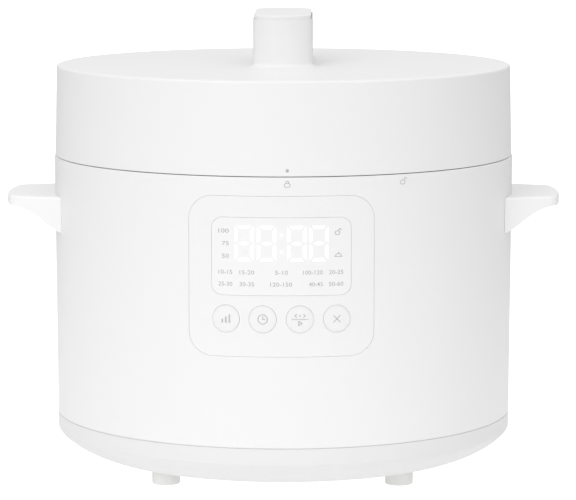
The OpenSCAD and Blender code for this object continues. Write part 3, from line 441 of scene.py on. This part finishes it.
def number_outlines(text, cx, cz, size, width):
    """Outlines of a plain number, as flat faces from the built-in font, drawn to a given width."""
    curve = bpy.data.curves.new("number", "FONT")
    curve.body = text
    curve.size = size
    curve.align_x = "CENTER"
    curve.align_y = "CENTER"
    curve.resolution_u = 3
    curve.offset = size * 0.008
    holder = add_object("number", curve)
    bpy.context.view_layer.update()
    mesh = bpy.data.meshes.new_from_object(holder)
    places = [(v.co.x, v.co.y) for v in mesh.vertices]
    xs, zs = zip(*places)
    mid_x, mid_z = (min(xs) + max(xs)) / 2, (min(zs) + max(zs)) / 2
    stretch = width / (max(xs) - min(xs))
    faces = [[(cx + (places[i][0] - mid_x) * stretch, cz + places[i][1] - mid_z) for i in p.vertices]
             for p in mesh.polygons]
    bpy.data.objects.remove(holder)
    bpy.data.curves.remove(curve)
    bpy.data.meshes.remove(mesh)
    return faces


def padlock(cx, cz, w, h, line, is_open):
    """Padlock pictogram: a rounded body outline and a shackle, swung aside when open."""
    body_h = h * 0.62
    r = body_h * 0.46
    low, high = cz - h / 2, cz - h / 2 + body_h
    left, right = cx - w / 2 + r, cx + w / 2 - r
    outline = (arc_points(right, high - r, r, 0, 90, 4) + arc_points(left, high - r, r, 90, 180, 4)
               + arc_points(left, low + r, r, 180, 270, 4) + arc_points(right, low + r, r, 270, 360, 4))
    shackle_r = w * (0.27 if is_open else 0.23)
    sx = cx + (w * 0.55 if is_open else 0)
    shackle = [(sx - shackle_r, high)] + arc_points(sx, high + h * 0.14, shackle_r, 180, 0, 8)
    if not is_open:
        shackle.append((sx + shackle_r, high))
    return stroke(outline, line, closed=True) + stroke(shackle, line)


# ---------------------------------------------------------------- display window

# Seven-segment display, all segments lit
DIGIT_W = 10.9 * MM
DIGIT_H = 20.4 * MM
DIGIT_Z = 152.25 * MM
DIGIT_X = [-21.2 * MM, -8.4 * MM, 8.7 * MM, 21.25 * MM]
SEGMENT = 1.95 * MM
SEGMENT_GAP = 0.4 * MM
COLON_X = 0.1 * MM
COLON_RISE = 4.9 * MM
COLON_R = 0.98 * MM

# Small numbers in mm: levels at the left, ranges in two rows, each with its middle and its width
NUMBER_SIZE = 3.35 * MM
LEVELS = [("100", 159.3), ("75", 152.1), ("50", 144.9)]
LEVEL_RIGHT = -29.8
LEVEL_CHARACTER = 2.0
RANGE_ROWS = [
    (135.7, [("10-15", -31.8, 7.9), ("15-20", -19.6, 8.4), ("5-10", 0.1, 7.3), ("100-120", 17.9, 11.3),
             ("20-25", 31.1, 8.2)]),
    (128.9, [("25-30", -31.8, 7.9), ("30-35", -19.6, 8.4), ("120-150", -0.1, 12.4), ("40-45", 19.6, 7.9),
             ("50-60", 31.1, 8.2)]),
]

# Two pictograms at the right
ICON_X = 32.4 * MM
ICON_LINE = 0.38 * MM
ICON_LOCK_X = ICON_X - 0.6 * MM
ICON_LOCK_Z = 158.8 * MM
ICON_LOCK_SIZE = (2.6 * MM, 3.4 * MM)
COVER_Z = 144.6 * MM
COVER_R = 1.7 * MM


def segment_outlines(cx, cz):
    """The seven segments of one digit, with their ends in segment widths: tapered side bars, a
    trapezoid at top and bottom and a lens-shaped middle bar."""
    w, h, t, g = DIGIT_W / 2, DIGIT_H / 2, SEGMENT, SEGMENT_GAP
    bars = []
    for s in (1, -1):
        bars.append([(-w + g + 0.8 * t, s * h), (-w + g + 0.62 * t, s * (h - 0.2 * t)),
                     (-w + 2 * g + 1.05 * t, s * (h - t)), (w - 2 * g - 1.05 * t, s * (h - t)),
                     (w - g - 0.62 * t, s * (h - 0.2 * t)), (w - g - 0.8 * t, s * h)])
        for u in (1, -1):
            bars.append([(u * w, s * (h - g - 0.35 * t)), (u * (w - 0.12 * t), s * (h - g - 0.2 * t)),
                         (u * (w - 0.95 * t), s * (h - g - 1.3 * t)), (u * (w - t), s * (h - g - 1.45 * t)),
                         (u * (w - t), s * (g + 0.62 * t)), (u * (w - 0.85 * t), s * (g + 0.5 * t)),
                         (u * (w - 0.15 * t), s * (g + 0.12 * t)), (u * w, s * (g + 0.25 * t))])
    reach = w - 2 * g - 0.85 * t
    half = [(-reach, 0), (-reach + 0.4 * t, 0.3 * t), (-reach + 1.0 * t, 0.5 * t),
            (-reach + 1.5 * t, 0.56 * t), (reach - 1.5 * t, 0.56 * t), (reach - 1.0 * t, 0.5 * t),
            (reach - 0.4 * t, 0.3 * t)]
    bars.append(half + [(-x, -z) for x, z in half])
    return [[(cx + x, cz + z) for x, z in bar] for bar in bars]


def make_digits():
    for number, x in enumerate(DIGIT_X, 1):
        wrapped_piece(f"digit_{number}", segment_outlines(x, DIGIT_Z), DIGIT_MAT, "base")
    dots = [circle_points(COLON_X, DIGIT_Z + rise, COLON_R, 16) for rise in (COLON_RISE, -COLON_RISE)]
    wrapped_piece("digit_colon", dots, DIGIT_MAT, "base")


def make_window_numbers():
    """Plain numbers where the display lists its levels and times."""
    places = []
    for text, z in LEVELS:
        width = LEVEL_CHARACTER * len(text)
        places.append((text, LEVEL_RIGHT - width / 2, z, width))
    for z, row in RANGE_ROWS:
        places += [(text, x, z, width) for text, x, width in row]
    faces = []
    for text, x, z, width in places:
        faces += number_outlines(text, x * MM, z * MM, NUMBER_SIZE, width * MM)
    wrapped_piece("window_numbers", faces, MARK_MAT, "base")


def make_window_icons():
    """An open padlock and a serving cover, as line pictograms."""
    x, z = ICON_X, COVER_Z
    foot, rim = 1.8 * MM, 2.2 * MM
    faces = padlock(ICON_LOCK_X, ICON_LOCK_Z, *ICON_LOCK_SIZE, ICON_LINE, True)
    faces += stroke([(x - rim, z), (x + rim, z)], ICON_LINE)
    faces += stroke([(x - foot, z)] + arc_points(x, z, COVER_R, 172, 8) + [(x + foot, z)], ICON_LINE)
    faces.append(circle_points(x, z + 2.1 * MM, 0.38 * MM, 12))
    wrapped_piece("window_icons", faces, MARK_MAT, "base")


# ---------------------------------------------------------------- lock marks and seam

# The marks stand at the azimuths where the lid's dot is when locked and when open
LOCKED_AT = 1.4
OPEN_AT = 29.9
LOCK_Z = 186.2 * MM
LOCK_LINE = 0.34 * MM
LOCKED_SIZE = (3.3 * MM, 3.5 * MM)
OPEN_SIZE = (3.1 * MM, 3.7 * MM)
DOT_Z = 193.7 * MM
DOT_R = 0.98 * MM

LIP_DEPTH = 0.42 * MM
LIP_WIDTH = 1.5 * MM
LIP_CLEAR = 0.05 * MM
LIP_STEPS = 240


def make_lock_marks():
    locked = padlock(0, LOCK_Z, *LOCKED_SIZE, LOCK_LINE, False)
    wrapped_piece("locked_mark", locked, LOCK_MARK_MAT, "base", LOCKED_AT)
    opened = padlock(0, LOCK_Z, *OPEN_SIZE, LOCK_LINE, True)
    wrapped_piece("open_mark", opened, LOCK_MARK_MAT, "base", OPEN_AT)
    dot = [circle_points(0, DOT_Z, DOT_R)]
    wrapped_piece("lid_mark", dot, LOCK_MARK_MAT, "lid", LOCKED_AT, on_lid)


def make_base_lip():
    """Narrow lip just behind the seam between base cover and body."""
    outer = BASE_R - LIP_DEPTH
    inner = outer - LIP_WIDTH
    low, high = BASE_TOP - BASE_GAP + LIP_CLEAR, BASE_TOP - LIP_CLEAR
    section = [(outer, low), (outer, high), (inner, high), (inner, low)]
    verts, faces = [], []
    for step in range(LIP_STEPS):
        angle = 2 * math.pi * step / LIP_STEPS
        verts += [(r * math.cos(angle), r * math.sin(angle), z) for r, z in section]
        here, after = 4 * step, 4 * ((step + 1) % LIP_STEPS)
        faces += [(here + k, after + k, after + (k + 1) % 4, here + (k + 1) % 4) for k in range(4)]
    mesh = bpy.data.meshes.new("base_lip")
    mesh.from_pydata(verts, [], faces)
    add_piece("base_lip", mesh, BASE_MAT, "base")


# ---------------------------------------------------------------- panel buttons

KEY_LINE = 0.42 * MM
KEY_RULE = 0.3 * MM
# A print on a button stands further out, because its dome curves both ways
KEY_INK_LIFT = 0.08 * MM
KEY_INK_DEPTH = 0.14 * MM
# The grey ring round each button lies this far behind the face and fills this share of the gap; its grey is
# painted shade for the gap's line
SEAL_SHADE_DEPTH = 0.2 * MM
SEAL_SHADE_SHARE = 0.7


def in_mm(*points):
    """Points given in mm from a button's middle."""
    return [(x * MM, KEY_Z + z * MM) for x, z in points]


def level_bars():
    foot = -2.2
    bars = []
    for x, height in ((-2.1, 1.9), (0.0, 3.2), (2.1, 4.5)):
        bars += stroke(in_mm((x, foot), (x, foot + height)), 0.8 * MM)
    return bars


def clock():
    face = circle_points(0, KEY_Z, 2.7 * MM, 28)
    return stroke(face, KEY_LINE, closed=True) + stroke(in_mm((0, 1.7), (0, 0), (1.3, 0)), KEY_LINE)


def choose_and_start():
    """Choosing arrows over a rule and a start triangle under it."""
    faces = stroke(in_mm((-4.7, 0), (4.7, 0)), KEY_RULE)
    for side in (-1, 1):
        root, tip = side * 1.9, side * 2.9
        faces += stroke(in_mm((root, 3.1), (tip, 2.1), (root, 1.1)), KEY_LINE)
    faces.append(circle_points(0, KEY_Z + 2.1 * MM, 0.45 * MM, 12))
    return faces + stroke(in_mm((-0.8, -1.1), (1.3, -2.3), (-0.8, -3.5)), KEY_LINE, closed=True)


def cross():
    return stroke(in_mm((-2, -2), (2, 2)), KEY_LINE) + stroke(in_mm((-2, 2), (2, -2)), KEY_LINE)


# From left to right
KEYS = [("texture", level_bars), ("timer", clock), ("start", choose_and_start), ("cancel", cross)]


def make_key_details():
    """A soft grey ring deep in the narrow gap round each button, a supposed seal whose grey is painted
    shade for the gap's line, and a pictogram on its face.
    """
    azimuths = [(number - (len(KEYS) - 1) / 2) * KEY_STEP for number in range(len(KEYS))]
    for (label, _), azimuth in zip(KEYS, azimuths):
        ring = stroke(circle_points(0, KEY_Z, KEY_R + KEY_GAP / 2, 72), KEY_GAP * SEAL_SHADE_SHARE, closed=True)
        wrapped_piece(f"{label}_seal", ring, SEAL_SHADE_MAT, "base", azimuth, lift=-SEAL_SHADE_DEPTH)
    for (label, pictogram), azimuth in zip(KEYS, azimuths):
        wrapped_piece(f"{label}_key_mark", pictogram(), MARK_MAT, f"{label}_button", azimuth,
                      on_key, KEY_INK_LIFT, KEY_INK_DEPTH)


# ---------------------------------------------------------------- stage

# The table glows near the object and falls away to a dim one beyond; the camera sees it white
FLOOR_SIZE = 12
FLOOR_NEAR, FLOOR_FAR = 0.25, 1.6
UNDER_NEAR, UNDER_FAR = 0.10, 0.17
FLOOR_GLOW = 0.2
FLOOR_UNDER = 0.22
FLOOR_PALE = 0.8
FLOOR_DIM = 0.5
SEEN_GLOW = 0.3
SEEN_FAR_GLOW = 0.7

# Studio brightness by direction: at the horizon, how much is added overhead and in front, and how
# much is taken off at the sides below SIDE_FADE of the height
AMBIENT = 0.48
AMBIENT_UP = 0.72
AMBIENT_FRONT = 0.10
AMBIENT_SIDE = 0.35
SIDE_FADE = 0.5

LIGHT_TARGET = (0, 0, 0.15)
KEY_LIGHT = ("key", (-0.85, -1.8, 1.1), 0.9, 1.2, 10.2)
FILL_LIGHT = ("fill", (1.3, -1.5, 1.0), 1.0, 1.0, 1.9)

# Camera solved from the circles of the seam, the lid edge, the base and the feet
CAM_DISTANCE = 1.9596
CAM_HEIGHT = 0.390
CAM_AZIMUTH = 0.5
CAM_PITCH = 7.546
CAM_LENS = 202.9
CAM_SENSOR = 36
CAM_SHIFT_X = 0.0079


class Sums:
    """Arithmetic on sockets and numbers in one node tree."""

    def __init__(self, tree):
        self.tree = tree

    def node(self, operation, first, second=0.0):
        node = self.tree.nodes.new("ShaderNodeMath")
        node.operation = operation
        for socket, value in zip(node.inputs, (first, second)):
            if isinstance(value, (int, float)):
                socket.default_value = value
            else:
                self.tree.links.new(value, socket)
        return node.outputs[0]

    def plus(self, first, second):
        return self.node("ADD", first, second)

    def minus(self, first, second):
        return self.node("SUBTRACT", first, second)

    def times(self, first, second):
        return self.node("MULTIPLY", first, second)

    def above_zero(self, value):
        return self.node("MAXIMUM", value, 0.0)


def mix_shaders(tree, fac, first, second, output):
    mix = tree.nodes.new("ShaderNodeMixShader")
    tree.links.new(fac, mix.inputs["Fac"])
    tree.links.new(first, mix.inputs[1])
    tree.links.new(second, mix.inputs[2])
    tree.links.new(mix.outputs["Shader"], tree.nodes[output].inputs["Surface"])


def make_floor():
    mat, tree, shader = new_material("floor_white")
    sums = Sums(tree)
    coords = tree.nodes.new("ShaderNodeTexCoord")
    length = tree.nodes.new("ShaderNodeVectorMath")
    length.operation = "LENGTH"
    tree.links.new(coords.outputs["Object"], length.inputs[0])

    def beyond(start, end):
        ramp = tree.nodes.new("ShaderNodeMapRange")
        ramp.interpolation_type = "SMOOTHSTEP"
        ramp.inputs["From Min"].default_value = start
        ramp.inputs["From Max"].default_value = end
        tree.links.new(length.outputs["Value"], ramp.inputs["Value"])
        return ramp.outputs["Result"]

    away = beyond(FLOOR_NEAR, FLOOR_FAR)
    tint(tree, shader, away, (FLOOR_PALE,) * 3, (FLOOR_DIM,) * 3)
    shader.inputs["Roughness"].default_value = 0.9
    shader.inputs["Emission Color"].default_value = (1, 1, 1, 1)
    seen = tree.nodes.new("ShaderNodeLightPath").outputs["Is Camera Ray"]
    glow = sums.plus(sums.times(sums.minus(1.0, away), FLOOR_GLOW),
                     sums.times(sums.minus(1.0, beyond(UNDER_NEAR, UNDER_FAR)), FLOOR_UNDER))
    extra = sums.times(seen, sums.plus(sums.times(away, SEEN_FAR_GLOW), SEEN_GLOW))
    tree.links.new(sums.plus(glow, extra), shader.inputs["Emission Strength"])
    # Clear from below, so that the underside can be looked at
    back = tree.nodes.new("ShaderNodeNewGeometry").outputs["Backfacing"]
    clear = tree.nodes.new("ShaderNodeBsdfTransparent")
    mix_shaders(tree, sums.times(seen, back), shader.outputs["BSDF"], clear.outputs["BSDF"],
                "Material Output")

    half = FLOOR_SIZE / 2
    mesh = bpy.data.meshes.new("floor")
    mesh.from_pydata([(-half, -half, 0), (half, -half, 0), (half, half, 0), (-half, half, 0)], [],
                     [(0, 1, 2, 3)])
    mesh.materials.append(mat)
    add_object("floor", mesh)


def add_light(name, place, width, height, power):
    data = bpy.data.lights.new(name, "AREA")
    data.energy = power
    data.shape = "RECTANGLE"
    data.size = width
    data.size_y = height
    obj = add_object(name, data)
    obj.location = place
    obj.rotation_euler = (Vector(LIGHT_TARGET) - Vector(place)).to_track_quat("-Z", "Y").to_euler()


def make_lights():
    world = bpy.data.worlds.new("studio")
    bpy.context.scene.world = world
    world.use_nodes = True
    tree = world.node_tree
    sums = Sums(tree)
    coords = tree.nodes.new("ShaderNodeTexCoord")
    split = tree.nodes.new("ShaderNodeSeparateXYZ")
    tree.links.new(coords.outputs["Generated"], split.inputs["Vector"])
    x, y, z = (split.outputs[axis] for axis in "XYZ")
    above = sums.above_zero(z)
    up = sums.times(above, AMBIENT_UP)
    front = sums.times(sums.above_zero(sums.times(y, -1.0)), AMBIENT_FRONT)
    low = sums.above_zero(sums.minus(1.0, sums.times(above, 1 / SIDE_FADE)))
    side = sums.times(sums.times(sums.node("ABSOLUTE", x), low), -AMBIENT_SIDE)
    strength = sums.plus(sums.plus(up, front), sums.plus(side, AMBIENT))
    background = tree.nodes["Background"]
    background.inputs["Color"].default_value = (1, 1, 1, 1)
    tree.links.new(strength, background.inputs["Strength"])
    plain = tree.nodes.new("ShaderNodeBackground")
    plain.inputs["Color"].default_value = (1, 1, 1, 1)
    plain.inputs["Strength"].default_value = 1.0
    seen = tree.nodes.new("ShaderNodeLightPath").outputs["Is Camera Ray"]
    mix_shaders(tree, seen, background.outputs["Background"], plain.outputs["Background"], "World Output")
    for light in (KEY_LIGHT, FILL_LIGHT):
        add_light(*light)


def make_camera():
    data = bpy.data.cameras.new("camera")
    data.sensor_width = CAM_SENSOR
    data.sensor_fit = "HORIZONTAL"
    data.lens = CAM_LENS
    data.shift_x = CAM_SHIFT_X
    data.clip_start = 0.05
    obj = add_object("camera", data)
    azimuth = math.radians(CAM_AZIMUTH)
    obj.location = (CAM_DISTANCE * math.sin(azimuth), -CAM_DISTANCE * math.cos(azimuth), CAM_HEIGHT)
    obj.rotation_euler = Euler((math.radians(90 - CAM_PITCH), 0, azimuth))
    bpy.context.scene.camera = obj


make_camera()
dress_nodes()
make_digits()
make_window_numbers()
make_window_icons()
make_lock_marks()
make_base_lip()
make_key_details()
make_floor()
make_lights()
bpy.context.scene.view_settings.view_transform = "Standard"
